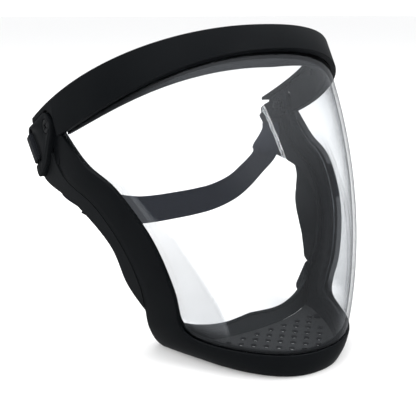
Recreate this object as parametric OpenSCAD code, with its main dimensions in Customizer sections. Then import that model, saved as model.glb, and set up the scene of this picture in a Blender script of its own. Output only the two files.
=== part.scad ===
// Full face shield: a clear moulded visor held in a closed black rim, which is made
// of a brow band above and a lower frame with two side arms and a chin tray below.
// Front of the shield is -Y, the wearer looks out along -Y, +Z is up, z = 0 is the
// plane that the chin tray stands on. Angles t run round the visor from its middle
// line, positive towards +X.

/* [Visor shell] */
// Height over which the shell's three section sizes are given
shell_h = 170; // [168:1:172]
// Half width of the shell at the chin
side_low = 59; // [58:0.5:60]
// Half width of the shell at mid height
side_mid = 82.8; // [82:0.2:83.6]
// Half width of the shell at the brow
side_top = 83.9; // [83.5:0.2:84.3]
// Front of the shell at the chin
front_low = -79.6; // [-80:0.2:-79]
// Front of the shell at mid height
front_mid = -70.9; // [-71.5:0.2:-70.3]
// Front of the shell at the brow
front_top = -26.3; // [-27:0.2:-25.6]
// Widest line of the shell at the chin
widest_low = 73.2; // [72:0.4:74]
// Widest line of the shell at the brow
widest_top = 79.6; // [79:0.4:80.6]
// Roundness of the shell's sections, 1 is an ellipse
roundness = 0.89; // [0.87:0.01:0.91]
// Thickness of the clear visor
visor_wall = 2; // [1.5:0.1:2]

/* [Rim] */
// How far the brow band stands out from the visor
brow_out = 3.2; // [2.8:0.1:3.6]
// How far the arms stand out from the visor
arm_out = 2; // [1.8:0.1:2.4]
// How far the chin band stands out from the visor
chin_out = 1.2; // [1:0.1:1.4]
// Depth of the visor in its groove
tuck = 5.6; // [5:0.2:5.8]
// Height of the chin band
chin_h = 14; // [13.5:0.5:15]
// Thickness of the soft face rim
rim_wall = 2.2; // [1.8:0.2:2.4]

/* [Chin vents] */
// Radius of one vent hole
vent_r = 1.8; // [1.2:0.1:1.8]
// Distance between holes in a row
vent_pitch = 10; // [9:0.5:12]
// Distance between rows
vent_row = 4.8; // [4.4:0.2:5.6]
// Number of rows
vent_rows = 8; // [4:1:8]

/* [Temple joint] */
// Radius of the temple screw's shank
screw_r = 2; // [1.8:0.1:2]
// Radius of the temple screw's head
head_r = 3.9; // [3.4:0.1:4]

/* [Strap] */
// Width of the elastic webbing
strap_w = 18; // [15:1:18]
// Thickness of the elastic webbing
strap_t = 1.2; // [0.8:0.1:1.3]
// Height of the low middle of the hanging strap
strap_low = 57; // [56:1:60]

/* [Hidden] */
$fn = 48;

// Small clearance between pieces that are clamped together
gap = 0.2;
// Outlines in the shell's own (angle, height) terms, from the chin's middle to the
// right ear: the edge of the lower frame along the visor, and its rear or lower edge.
visor_edge = [[0, chin_h], [15, chin_h], [30, chin_h], [42, chin_h], [48.5, 16], [50.5, 23],
              [50, 41], [53, 68], [61, 91.5], [70, 101.5], [77.2, 113]];
rear_edge = [[0, 0], [16, 0], [32, 0], [48, 0], [60.5, 0], [62.5, 12],
             [60.3, 38], [62.6, 60.5], [69, 79.5], [78.5, 91], [80.2, 109.3]];
ear = len(visor_edge) - 1;
// Temple screw axis, across the head
screw_y = 54;
screw_z = 118;
// Layers of the temple joint, from the head's side outwards
plate_x = 79.6;
frame_tab_x = 82.4;
anchor_x = 85.4;
tab_t = 2.6;
anchor_t = 3.5;
bore_r = screw_r + 0.2;
// Strap slot in the anchor and the bar behind it
slot_a = [76.6, 111.5];
slot_b = [64.6, 98.5];
slot_r = 1.9;
bar_r = 1.9;
// The strap's swing axis
swing_y = 66;
swing_z = 103;
strap_x = 82.5;
strap_y = 61;

// ---- shell surface ---------------------------------------------------------------

function through(a, b, c, h) = a*(1 - h)*(1 - 2*h) + 4*b*h*(1 - h) + c*h*(2*h - 1);
function half_w(z) = through(side_low, side_mid, side_top, z/shell_h);
function front_y(z) = through(front_low, front_mid, front_top, z/shell_h);
function widest_y(z) = widest_low + (widest_top - widest_low)*z/shell_h;
function rounded(v) = sign(v)*pow(abs(v), roundness);
function shell(t, z) = [half_w(z)*rounded(sin(t)),
                        widest_y(z) - (widest_y(z) - front_y(z))*rounded(cos(t)), z];
function unit(v) = v/norm(v);
function outward(t, z) = unit(cross(shell(t + 1, z) - shell(t - 1, z),
                                    shell(t, z + 1) - shell(t, z - 1)));
// A point at angle t and height z, moved d outwards from the shell
function on_shell(tz, d) = shell(tz[0], tz[1]) + outward(tz[0], tz[1])*d;

// ---- curves and skins ------------------------------------------------------------

function reversed(v) = [for (i = [len(v) - 1:-1:0]) v[i]];
function blend(a, b, f) = a + (b - a)*min(max(f, 0), 1);
// Smooth curve through the points c, where u counts points
function curve(c, u) =
    let (i = min(floor(u), len(c) - 2), f = u - i, b = c[i], d = c[i + 1],
         a = i > 0 ? c[i - 1] : 2*b - d, e = i + 2 < len(c) ? c[i + 2] : 2*d - b)
    0.5*(2*b + (d - a)*f + (2*a - 5*b + 4*d - e)*f*f + (3*b - a - 3*d + e)*f*f*f);
// The same on both sides of the middle, u from -n to n; s mirrors the first value
function both(c, u) = let (p = curve(c, abs(u))) [for (i = [0:len(p) - 1]) (i == 0 && u < 0) ? -p[i] : p[i]];
function above_ground(p) = [p[0], max(p[1], 0)];

// A closed skin over a row of rings. Thin caps are zipped across, others are one face.
module skin(rings, thin = false) {
    n = len(rings);
    m = len(rings[0]);
    sides = [for (i = [0:n - 2], j = [0:m - 1])
        let (a = i*m + j, b = i*m + (j + 1)%m) each [[a, b + m, b], [a, a + m, b + m]]];
    first = thin ? [for (j = [0:m/2 - 2]) each [[j, j + 1, m - 2 - j], [j, m - 2 - j, m - 1 - j]]]
                 : [[for (j = [0:m - 1]) j]];
    last = [for (f = first) [for (i = [len(f) - 1:-1:0]) f[i] + (n - 1)*m]];
    polyhedron(points = [for (r = rings) each r], faces = concat(sides, first, last), convexity = 8);
}

// One ring of a strip that lies on the shell between edge points a and b. Each profile
// point is [share of the width, extra millimetres, distance out from the shell]. Where
// the strip is narrower than full_width, the extra millimetres shrink with it.
full_width = 11.5;
function strip_width(a, b) = norm(on_shell(b, 0) - on_shell(a, 0));
function strip_ring(a, b, profile, least = full_width) =
    let (w = max(strip_width(a, b), least))
    [for (p = profile) on_shell(a + (b - a)*(p[0] + p[1]/w), p[2])];

// Fan of a ring between two space curves, for a blade with thickness
function blade_ring(root, tip, out, profile) =
    let (l = norm(tip - root), v = (tip - root)/l)
    [for (p = profile) root + v*(p[0]*l + p[1]) + out*p[2]];

module mirror_x(right) {
    mirror([right ? 0 : 1, 0, 0]) children();
}

// A flat plate in the side plane, drawn as (y, z), from x to x + t
module side_plate(x, t) {
    translate([x, 0, 0]) rotate([90, 0, 90]) linear_extrude(t) children();
}

// A tapered link between two round ends
module link(a, ra, b, rb) {
    l = norm(b - a);
    turn = atan2(b[1] - a[1], b[0] - a[0]);
    lean = asin((ra - rb)/l);
    side = function (s) [a[0] + ra*cos(turn + s*(90 - lean)), a[1] + ra*sin(turn + s*(90 - lean))];
    far = function (s) [b[0] + rb*cos(turn + s*(90 - lean)), b[1] + rb*sin(turn + s*(90 - lean))];
    translate(a) circle(ra);
    translate(b) circle(rb);
    polygon([side(-1), far(-1), far(1), side(1)]);
}

module across(x, l, r, fn = 48) {
    translate([x, screw_y, screw_z]) rotate([0, 90, 0]) cylinder(h = l, r = r, $fn = fn);
}

// ---- brow ------------------------------------------------------------------------

arm_corner_t = 77.4;
band_end_t = 88.6;
band_end_h = 3.5;
top_at_zero = 158.7;
top_slope = 0.518;
function top_line(y) = top_at_zero - top_slope*y;
function low_line(y) = let (d = y + 33.7) 159.5 - 0.766*d + 0.00225*d*d;
// Height at which the shell meets the band's top plane, found by stepping towards it
function top_z(t, z = 150, n = 14) = n == 0 ? z : top_z(t, top_line(shell(t, z)[1]), n - 1);
function low_z(t, z = 140, n = 18) = n == 0 ? z : low_z(t, low_line(shell(t, z)[1]), n - 1);
function band_low_z(t) = abs(t) <= arm_corner_t ? low_z(t) : top_z(t) - band_end_h;
band_stations = concat([for (t = [-band_end_t:2.2:-arm_corner_t - 0.6]) t],
                       [for (i = [-32:32]) i*arm_corner_t/32],
                       [for (t = [-band_end_t:2.2:-arm_corner_t - 0.6]) -t]);
function sorted(v) = len(v) < 2 ? v :
    let (p = v[floor(len(v)/2)])
    concat(sorted([for (x = v) if (x < p) x]), [for (x = v) if (x == p) x],
           sorted([for (x = v) if (x > p) x]));

flange_in = 6.5;
flange_t = 2.2;
band_profile = [[0, 0, brow_out - 0.8], [0, 0.8, brow_out], [1, -1, brow_out], [1, 0, brow_out - 1],
                [1, 0, -flange_in], [1, -flange_t, -flange_in], [1, -flange_t, gap], [0, 0, gap]];

module brow_band() {
    color([0.09, 0.1, 0.11])
        skin([for (t = reversed(sorted(band_stations)))
            strip_ring([t, band_low_z(t)], [t, top_z(t)], band_profile, band_end_h)], thin = true);
}

// Plates inside the band's ends, which the temple screws draw against the frame
plate_r = 7.5;
plate_top = [[47, screw_z], [61, screw_z], [61.5, 123], [47, 130.5]];
module temple_plate(right) {
    color([0.09, 0.1, 0.11]) mirror_x(right) side_plate(plate_x, tab_t) difference() {
        union() {
            translate([screw_y, screw_z]) circle(plate_r);
            polygon(plate_top);
        }
        translate([screw_y, screw_z]) circle(bore_r);
    }
}
module temple_plate_left() { temple_plate(false); }
module temple_plate_right() { temple_plate(true); }

// The inner rail clamps the visor's top edge against the band
rail_end_t = 74;
rail_t = 2.2;
rail_drop = 5.5;
function rail_low_z(t) = low_z(t) - blend(rail_drop, 0.6, abs(t)/rail_end_t);
rail_in = -visor_wall - gap;
rail_profile = [[0, 0, rail_in], [1, -flange_t - gap, rail_in], [1, -flange_t - gap, rail_in - rail_t],
                [0, 0.8, rail_in - rail_t], [0, 0, rail_in - rail_t + 0.8]];
module brow_rail() {
    color([0.09, 0.1, 0.11]) difference() {
        skin([for (i = [30:-1:-30]) let (t = i*rail_end_t/30)
            strip_ring([t, rail_low_z(t)], [t, top_z(t)], rail_profile)]);
        rail_pin_bores();
    }
}

// Small pins through the rail and the visor into the band
rail_pin_r = 1.2;
rail_pin_turns = [-60, -30, 0, 30, 60];
rail_pin_up = 0.62;
pin_head_t = 0.9;
rail_pin_from = -visor_wall - gap - rail_t - 1.5;
module along_normal(t, z, d) {
    n = outward(t, z);
    translate(on_shell([t, z], d))
        rotate([0, acos(n[2]), atan2(n[1], n[0])]) children();
}
module at_rail_pins(d) {
    for (t = rail_pin_turns)
        along_normal(t, blend(band_low_z(t), top_z(t), rail_pin_up), d) children();
}
module rail_pin_bores() {
    at_rail_pins(rail_pin_from) cylinder(h = 1 - rail_pin_from, r = rail_pin_r + 0.1);
}
module rail_pins() {
    color([0.15, 0.15, 0.16]) at_rail_pins(rail_pin_from) {
        cylinder(h = -0.1 - rail_pin_from, r = rail_pin_r);
        cylinder(h = pin_head_t, r = 2);
    }
}

// ---- lower frame -----------------------------------------------------------------

// Share of the arm, against the chin band, in the section at place u
function arm_share(u) = blend(0, 1, (abs(u) - 3)/2);
function front_out(u) = blend(chin_out, arm_out, arm_share(u));
function rear_out(u) = blend(-chin_out, arm_out + 0.5, arm_share(u));
// The chin band is made a little too deep, and the ground then cuts it off flat
too_deep = 1.5;
flange_top = 2;
// Profile points of the frame; the fourth value is the height of the chin's flat flange
function frame_profile(u) =
    let (fo = front_out(u), ro = rear_out(u), fl = blend(-8, -3.2, arm_share(u)),
         wf = blend(-3, -0.6, arm_share(u)), wr = blend(-3.9, -0.4, arm_share(u)),
         low = blend(too_deep, 0, arm_share(u)), lip = -visor_wall - 2.2, seat = -visor_wall - gap)
    [[0, 0, fo - 0.9], [0, 0.9, fo], [1, low - 0.9, ro], [1, low, ro - 0.9],
     [1, low, fl, -too_deep], [1, -2, fl, flange_top], [1, -2, wr, flange_top],
     [0, 8, wf], [0, 8, lip], [0, 0, lip], [0, 0, seat],
     [0, tuck + 0.6, seat], [0, tuck + 0.6, gap], [0, 0, gap]];
frame_steps = 5;
function frame_ring(u) =
    let (profile = frame_profile(u), k = arm_share(u),
         ring = strip_ring(both(visor_edge, u), above_ground(both(rear_edge, u)), profile))
    [for (i = [0:len(ring) - 1]) let (p = ring[i], level = profile[i][3])
        [p[0], p[1], level == undef ? p[2] : blend(level, p[2], k)]];
floor_pin_r = 1.2;
floor_pin_turns = [-46, -16, 16, 46];
module at_floor_pins() {
    for (t = floor_pin_turns) {
        p = on_shell([t, 1], -6.6);
        translate([p[0], p[1], 0]) children();
    }
}
// The frame's flat tab that the temple screw goes through, and its foot on the arm
tab_r = 7;
tab_foot = [50, 100];
tab_foot_r = 4;
module lower_frame() {
    color([0.08, 0.09, 0.1]) difference() {
        union() {
            skin([for (i = [-ear*frame_steps:ear*frame_steps]) frame_ring(i/frame_steps)]);
            for (right = [false, true]) mirror_x(right) side_plate(frame_tab_x, tab_t) difference() {
                link([screw_y, screw_z], tab_r, tab_foot, tab_foot_r);
                translate([screw_y, screw_z]) circle(bore_r);
            }
        }
        translate([-100, -100, -10]) cube([200, 200, 10]);
        at_floor_pins() translate([0, 0, 0.6]) cylinder(h = 3, r = floor_pin_r + 0.1);
    }
}

// ---- visor -----------------------------------------------------------------------

visor_low = 3;
visor_high = 9.6;
visor_corner_t = 77;
visor_top_tuck = 3.4;
visor_rows = 20;
visor_columns = 24;
// The visor's edge inside the rim's groove, at place u along the outline
function tucked(u) =
    let (a = curve(visor_edge, u), b = curve(rear_edge, u))
    a + (b - a)*tuck/max(strip_width(a, b), full_width);
visor_side = concat([for (i = [0:visor_rows]) tucked(visor_low + (visor_high - visor_low)*i/visor_rows)],
                    [[visor_corner_t, 118], [visor_corner_t, top_z(visor_corner_t) - visor_top_tuck]]);
visor_foot = visor_side[0][1];
visor_head = visor_side[len(visor_side) - 1][1];
// Column at share s of the way from the middle to the side
function visor_column(s, d) =
    let (head = top_z(s*visor_corner_t) - visor_top_tuck,
         k = (head - visor_foot)/(visor_head - visor_foot))
    [for (p = visor_side) on_shell([s*p[0], visor_foot + (p[1] - visor_foot)*k], d)];
module visor() {
    color([0.8, 0.87, 0.9, 0.35]) difference() {
        skin([for (i = [visor_columns:-1:-visor_columns])
            concat(visor_column(i/visor_columns, 0), reversed(visor_column(i/visor_columns, -visor_wall)))],
            thin = true);
        rail_pin_bores();
    }
}

// ---- face rim --------------------------------------------------------------------

// The rim across the throat: its foot on the tray and its free edge, middle to side
lip_foot = [[0, -26.5, 2.4], [20, -25, 2.4], [38, -19.5, 2.6], [50, -12, 4.5]];
lip_tip = [[0, -18, 9.5], [19, -18.5, 8.8], [36, -15.5, 11.5], [49, -11, 16.5]];
// Where the lip turns up behind the frame's corner, and where it meets the arm
lip_turn_foot = [52.4, -1.4, 10];
lip_turn_tip = [56, -3.5, 23];
arm_rim_from = 5.6;
// Along the arm: the rim's free edge, and the place on the rear edge that each point goes with
arm_rim_tip = [[61.8, 28], [64.5, 40], [66.4, 60], [75.5, 77.2], [89.2, 83.6]];
arm_rim_places = [[arm_rim_from, 0], [6, 1], [7, 2], [8, 3], [9.35, 4]];
rim_root_out = 1.1;
rim_tip_out = 2.3;
rim_steps = 5;
function rim_root_at(u) = on_shell(curve(rear_edge, u), rim_root_out);
function rim_tip_at(u) = on_shell(curve(arm_rim_tip, lookup(u, arm_rim_places)), rim_tip_out);
rim_turn = len(lip_foot) + 1;
lip_roots = concat(lip_foot, [lip_turn_foot], [for (u = [arm_rim_from, 6.4]) rim_root_at(u)]);
lip_tips = concat(lip_tip, [lip_turn_tip], [for (u = [arm_rim_from, 6.4]) rim_tip_at(u)]);
// Pairs of points on the rim's foot and its free edge, from the middle to the right ear
rim_pairs = concat([for (i = [0:rim_turn*rim_steps - 1]) [curve(lip_roots, i/rim_steps), curve(lip_tips, i/rim_steps)]],
                   [for (u = [arm_rim_from:1/frame_steps:9.2]) [rim_root_at(u), rim_tip_at(u)]],
                   [[rim_root_at(9.35), rim_tip_at(9.35)]]);
rim_last = len(rim_pairs) - 1;
function rim_pair(i) = [for (p = rim_pairs[min(abs(i), rim_last)]) [i < 0 ? -p[0] : p[0], p[1], p[2]]];
// Height of the free edge's inner bead, which widens to a cheek pad along the arms
rim_bead = 0.8;
rim_pad = [[arm_rim_from, rim_bead], [6, 6], [6.5, 8], [7, 12], [7.6, 12], [8, 9], [8.5, rim_bead]];
rim_pad_t = 1.6;
function pad_in(i) =
    let (u = arm_rim_from + (abs(i) - rim_turn*rim_steps)/frame_steps)
    u < arm_rim_from || u > 8.5 ? rim_bead : lookup(u, rim_pad);
function rim_profile(pad) = [[0, 0.3, rim_wall/2], [1, -rim_pad_t - 0.4, rim_wall/2], [1, -rim_pad_t, rim_wall/2 + pad],
    [1, 0, rim_wall/2 + pad - 0.2], [1, 0, 0], [0.6, 0, -rim_wall/2], [0, 0.3, -rim_wall/2]];
function rim_ring(i) =
    let (foot = rim_pair(i)[0], tip = rim_pair(i)[1], run = rim_pair(i + 1)[0] - rim_pair(i - 1)[0])
    blade_ring(foot, tip, unit(cross(run, tip - foot)), rim_profile(pad_in(i)));
module face_rim() {
    color([0.12, 0.12, 0.13]) skin([for (i = [rim_last:-1:-rim_last]) rim_ring(i)]);
}

// ---- chin floor ------------------------------------------------------------------

floor_low = 2.2;
floor_t = 1.6;
floor_turns = 52;
floor_back = 1.6;
floor_outline = concat([for (t = [-floor_turns:4:floor_turns]) let (p = on_shell([t, 3], -4.8)) [p[0], p[1]]],
                       [for (i = [2.6:-0.4:-2.6]) let (p = both(lip_foot, i)) [p[0], p[1] - floor_back]]);
vent_front = -66;
vent_margin = 10;
vent_columns = 5;
// Half width of the floor's outline at a distance along Y, from the shell's section
function floor_half(y) =
    half_w(3)*pow(1 - pow((widest_y(3) - y)/(widest_y(3) - front_y(3)), 2/roundness), roundness/2);
module vent_floor() {
    color([0.2, 0.2, 0.21]) translate([0, 0, floor_low]) difference() {
        linear_extrude(floor_t) polygon(floor_outline);
        for (j = [0:vent_rows - 1]) {
            y = vent_front + j*vent_row;
            reach = floor_half(y) - vent_margin;
            for (i = [-vent_columns:vent_columns]) {
                x = (i + (j%2)/2)*vent_pitch;
                if (abs(x) < reach) translate([x, y, -1]) cylinder(h = floor_t + 2, r = vent_r, $fn = 24);
            }
        }
        at_floor_pins() translate([0, 0, -1]) cylinder(h = floor_t + 2, r = floor_pin_r + 0.1);
    }
}
module floor_pins() {
    color([0.15, 0.15, 0.16]) at_floor_pins() {
        translate([0, 0, 0.6]) cylinder(h = floor_low + floor_t - 0.6 + 0.1, r = floor_pin_r);
        translate([0, 0, floor_low + floor_t + 0.1]) cylinder(h = 0.8, r = 2.2);
    }
}

// ---- temples ---------------------------------------------------------------------

// Places in the side plane: along the slot, then rearwards square to it
slot_turn = atan2(slot_a[1] - slot_b[1], slot_a[0] - slot_b[0]);
module at_slot(along, back) {
    translate([0, (slot_a[0] + slot_b[0])/2, (slot_a[1] + slot_b[1])/2])
        rotate([slot_turn, 0, 0]) translate([0, along, -back]) children();
}
slot_half = norm(slot_a - slot_b)/2;
bar_back = slot_r + bar_r + 0.1;
// Round corners of the anchor: boss, top rear, foot and front, each (y, z, radius)
anchor_corners = [[screw_y, screw_z, 7.6], [77.5, 111.2, 3.4], [67.4, 90.5, 3.6], [58.5, 99, 3]];
head_seat = 1.8;
module strap_anchor(right) {
    color([0.09, 0.1, 0.11]) mirror_x(right) difference() {
        side_plate(anchor_x, anchor_t) hull()
            for (c = anchor_corners) translate([c[0], c[1]]) circle(c[2], $fn = 32);
        across(anchor_x - 1, anchor_t + 2, bore_r);
        across(anchor_x + anchor_t - head_seat, head_seat + 1, head_r + 0.4);
        at_slot(0, 0) {
            translate([anchor_x - 1, -slot_half, -slot_r]) cube([anchor_t + 2, 2*slot_half, 2*slot_r]);
            for (end = [-slot_half, slot_half])
                translate([anchor_x - 1, end, 0]) rotate([0, 90, 0]) cylinder(h = anchor_t + 2, r = slot_r);
        }
        at_slot(0, bar_back + bar_r)
            translate([anchor_x - 1, -slot_half, -20]) cube([anchor_t + 2, 2*slot_half, 20]);
    }
}
module strap_anchor_left() { strap_anchor(false); }
module strap_anchor_right() { strap_anchor(true); }

head_x = anchor_x + anchor_t - head_seat + 0.1;
head_t = 1.6;
// Depth, length and width of one bar of the cross recess
recess = [1.8, 4.6, 1];
washer_r = 4.6;
washer_t = 0.6;
nut_r = 4;
nut_t = 2.4;
thread_past_nut = 0.6;
washer_x = plate_x - 0.1 - washer_t;
nut_x = washer_x - 0.1 - nut_t;
module temple_screws() {
    color([0.25, 0.26, 0.28]) for (right = [false, true]) mirror_x(right) difference() {
        union() {
            across(head_x, head_t, head_r);
            across(nut_x - thread_past_nut, head_x - nut_x + thread_past_nut, screw_r);
        }
        for (turn = [20, 110])
            translate([head_x + head_t, screw_y, screw_z]) rotate([turn, 0, 0]) cube(recess, center = true);
    }
}
module temple_washers() {
    color([0.6, 0.6, 0.62]) for (right = [false, true]) mirror_x(right) difference() {
        across(washer_x, washer_t, washer_r);
        across(washer_x - 1, washer_t + 2, screw_r + 0.2);
    }
}
module temple_nuts() {
    color([0.6, 0.6, 0.62]) for (right = [false, true]) mirror_x(right) difference() {
        across(nut_x, nut_t, nut_r, 6);
        across(nut_x - 1, nut_t + 2, screw_r + 0.05);
    }
}

// ---- strap -----------------------------------------------------------------------

loop_len = strap_w - 0.8;
loop_gap = 0.3;
module loop_block(grow, len) {
    x = anchor_t + 2*(loop_gap + grow);
    z = 2*(bar_r + loop_gap + grow);
    at_slot(0, bar_back) translate([anchor_x + anchor_t/2 - x/2, -len/2, -z/2]) cube([x, len, z]);
}
module strap_loop(right) {
    color([0.07, 0.08, 0.11]) mirror_x(right) difference() {
        loop_block(strap_t, loop_len);
        loop_block(0, loop_len + 2);
    }
}
module strap_loop_left() { strap_loop(false); }
module strap_loop_right() { strap_loop(true); }

// The hanging webbing, from its low middle to the right temple: (x, y, z, twist)
strap_route = [[0, strap_y, strap_low, 0], [15, strap_y, strap_low + 0.2, 0],
               [30, strap_y, strap_low + 1.5, 0], [45, strap_y, strap_low + 5.5, 0],
               [56, strap_y, strap_low + 11.6, 0], [69.5, strap_y, strap_low + 22.2, 0],
               [74.6, 61.8, 86, -40], [78.9, 63.6, 93, -74], [82, 65.2, 99, -89],
               [strap_x, swing_y, swing_z + 0.5, -90]];
strap_steps = 5;
function strap_at(u) = let (p = both(strap_route, u)) [p[0], p[1], p[2]];
function strap_ring(u) =
    let (run = unit(strap_at(u + 0.05) - strap_at(u - 0.05)), flat = unit(cross([0, 1, 0], run)),
         face = cross(run, flat), twist = both(strap_route, u)[3],
         wide = flat*cos(twist) + face*sin(twist), thick = cross(run, wide))
    [for (c = [[-1, -1], [1, -1], [1, 1], [-1, 1]])
        strap_at(u) + wide*c[0]*strap_w/2 + thick*c[1]*strap_t/2];
module strap() {
    last = (len(strap_route) - 1)*strap_steps;
    color([0.07, 0.08, 0.11]) skin([for (i = [-last:last]) strap_ring(i/strap_steps)]);
}

// The length adjuster, a ladder of two windows that the webbing passes through
slider_at = -4.05;
slider_l = 7.6;
slider_wall = 1.4;
slider_gap = 0.7;
slider_bar = 1.3;
module strap_slider() {
    run = strap_at(slider_at + 0.3) - strap_at(slider_at - 0.3);
    inner_t = strap_t + 2*slider_gap;
    inner_w = strap_w + 2*slider_gap;
    outer_t = inner_t + 2*slider_wall;
    color([0.1, 0.1, 0.11]) translate(strap_at(slider_at)) rotate([0, -atan2(run[2], run[0]), 0]) difference() {
        cube([slider_l, outer_t, inner_w + 2*slider_wall], center = true);
        cube([slider_l + 2, inner_t, inner_w], center = true);
        for (end = [-1, 1]) translate([end*slider_l/4, outer_t/2, 0])
            cube([slider_l/2 - 2*slider_bar, 2*slider_wall + 1, strap_w - 2], center = true);
    }
}

visor();
brow_band();
brow_rail();
rail_pins();
lower_frame();
face_rim();
vent_floor();
floor_pins();
strap_anchor_left();
strap_anchor_right();
temple_plate_left();
temple_plate_right();
temple_screws();
temple_washers();
temple_nuts();
strap_loop_left();
strap_loop_right();
strap();
strap_slider();
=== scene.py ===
"""Looks of a full face shield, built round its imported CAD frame.

The visor, the black rim and the webbing are modelled on one smooth shell surface, in the same
frame as the CAD. Small fittings keep their CAD shape and get softened edges.
"""

import logging
import math
from collections.abc import Callable
from dataclasses import dataclass, field
from enum import Enum

import bmesh
import bpy
from mathutils import Matrix, Vector


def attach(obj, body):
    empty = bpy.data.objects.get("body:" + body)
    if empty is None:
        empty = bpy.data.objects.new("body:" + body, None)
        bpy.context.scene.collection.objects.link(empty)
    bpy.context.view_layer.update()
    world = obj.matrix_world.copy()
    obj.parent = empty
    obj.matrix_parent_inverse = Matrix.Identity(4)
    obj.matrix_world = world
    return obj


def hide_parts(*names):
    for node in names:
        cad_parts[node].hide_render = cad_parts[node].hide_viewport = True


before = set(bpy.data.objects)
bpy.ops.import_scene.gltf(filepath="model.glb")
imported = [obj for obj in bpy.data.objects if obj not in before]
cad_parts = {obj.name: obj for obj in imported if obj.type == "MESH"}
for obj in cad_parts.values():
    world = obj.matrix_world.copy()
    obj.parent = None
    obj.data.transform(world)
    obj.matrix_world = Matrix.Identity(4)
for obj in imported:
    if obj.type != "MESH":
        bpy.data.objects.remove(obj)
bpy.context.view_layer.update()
MM = 0.001
SHIELD, STRAP, SLIDER = "shield", "strap", "slider"
Ring = list[Vector]
Triple = tuple[float, float, float]
log = logging.getLogger("face_shield")


class Side(Enum):
    """A side of the wearer's head, by the sign of its X."""

    LEFT = -1
    RIGHT = 1


# ---- shader maths ---------------------------------------------------------------------------


class Socket:
    """A shader output that can be added, multiplied and so on like a number."""

    def __init__(self, shader: "Shader", link: bpy.types.NodeSocket) -> None:
        """Keeps the output and the shader that it belongs to.

        Args:
            shader: The shader that makes further nodes.
            link: The node output.
        """
        self.shader = shader
        self.link = link

    def math(self, operation: str, *others: "float | Socket") -> "Socket":
        """Returns a Math node's result for this value and the others."""
        return self.shader.node("ShaderNodeMath", {"operation": operation}, dict(enumerate((self, *others))))

    def __add__(self, other: "float | Socket") -> "Socket":
        """Returns this value plus the other."""
        return self.math("ADD", other)

    def __mul__(self, other: "float | Socket") -> "Socket":
        """Returns this value times the other."""
        return self.math("MULTIPLY", other)

    def __pow__(self, other: float) -> "Socket":
        """Returns this value raised to the other."""
        return self.math("POWER", other)

    __radd__ = __add__
    __rmul__ = __mul__


class Shader:
    """Builds one material's nodes."""

    def __init__(self, name: str) -> None:
        """Starts an empty material.

        Args:
            name: The material's name.
        """
        self.material = bpy.data.materials.new(name)
        self.material.use_nodes = True
        self.tree = self.material.node_tree
        self.tree.nodes.clear()

    def node(self, kind: str, settings: dict | None = None, inputs: dict | None = None,
             output: int | str = 0) -> Socket:
        """Adds one node.

        Args:
            kind: The node's Blender type.
            settings: Its settings, set before its sockets. A ramp's stops go under "stops".
            inputs: Values or links by socket name or number.
            output: The output wanted.

        Returns:
            The output as a Socket.
        """
        made = self.tree.nodes.new(kind)
        for key, value in (settings or {}).items():
            if key == "stops":
                ramp = made.color_ramp
                for stop, (place, shade) in zip((ramp.elements[0], ramp.elements[1]), value):
                    stop.position = place
                    stop.color = (shade, shade, shade, 1.0)
            else:
                setattr(made, key, value)
        for key, value in (inputs or {}).items():
            if isinstance(value, Socket):
                self.tree.links.new(value.link, made.inputs[key])
            else:
                made.inputs[key].default_value = value
        return Socket(self, made.outputs[output])

    def place(self) -> Socket:
        """Returns Object coordinates."""
        return self.node("ShaderNodeTexCoord", output="Object")

    def noise(self, scale: float, detail: float = 3.0, where: Socket | None = None) -> Socket:
        """Returns a noise value from 0 to 1 with that scale per metre."""
        inputs = {"Vector": where or self.place(), "Scale": scale, "Detail": detail}
        return self.node("ShaderNodeTexNoise", inputs=inputs, output=0)

    def ramp(self, value: Socket, low: tuple[float, float], high: tuple[float, float]) -> Socket:
        """Returns a value ramped between two stops, each a place and a shade."""
        return self.node("ShaderNodeValToRGB", {"stops": (low, high)}, {"Fac": value})

    def mix(self, factor: Socket, first: Triple, second: Triple) -> Socket:
        """Returns a colour between two, by factor."""
        inputs = {0: factor, 6: (*first, 1.0), 7: (*second, 1.0)}
        return self.node("ShaderNodeMix", {"data_type": "RGBA"}, inputs, output=2)

    def bump(self, height: Socket, depth: float, strength: float = 1.0) -> Socket:
        """Returns a normal bent by that height, in metres of depth."""
        return self.node("ShaderNodeBump", inputs={"Height": height, "Distance": depth, "Strength": strength})

    def principled(self, inputs: dict) -> Socket:
        """Returns a Principled shader."""
        return self.node("ShaderNodeBsdfPrincipled", inputs=inputs)

    def finish(self, surface: Socket) -> bpy.types.Material:
        """Puts the surface on the material's output and returns the material."""
        out = self.tree.nodes.new("ShaderNodeOutputMaterial")
        self.tree.links.new(surface.link, out.inputs["Surface"])
        return self.material


@dataclass(frozen=True)
class MouldedBlack:
    """Satin black plastic with a fine moulded grain and faint handling marks."""

    name: str = "moulded_black"
    dark: Triple = (0.0030, 0.0037, 0.0045)
    light: Triple = (0.0055, 0.0063, 0.0072)
    roughness: float = 0.34
    grain: float = 0.00004
    specular: float = 0.07
    cloud_rough: float = 0.14
    speck_rough: float = 0.05

    def make(self) -> bpy.types.Material:
        """Returns the material."""
        s = Shader(self.name)
        cloud = s.noise(35.0, 4.0)
        fine = s.noise(2600.0, 2.0)
        speck = s.noise(700.0, 1.0)
        smoothest = self.roughness - (self.cloud_rough + self.speck_rough) / 2
        rough = cloud * self.cloud_rough + speck * self.speck_rough + smoothest
        height = fine * 0.6 + speck * 0.4
        inputs = {"Base Color": s.mix(cloud, self.dark, self.light), "Roughness": rough,
                  "Normal": s.bump(height, self.grain), "Specular IOR Level": self.specular}
        return s.finish(s.principled(inputs))


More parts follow.
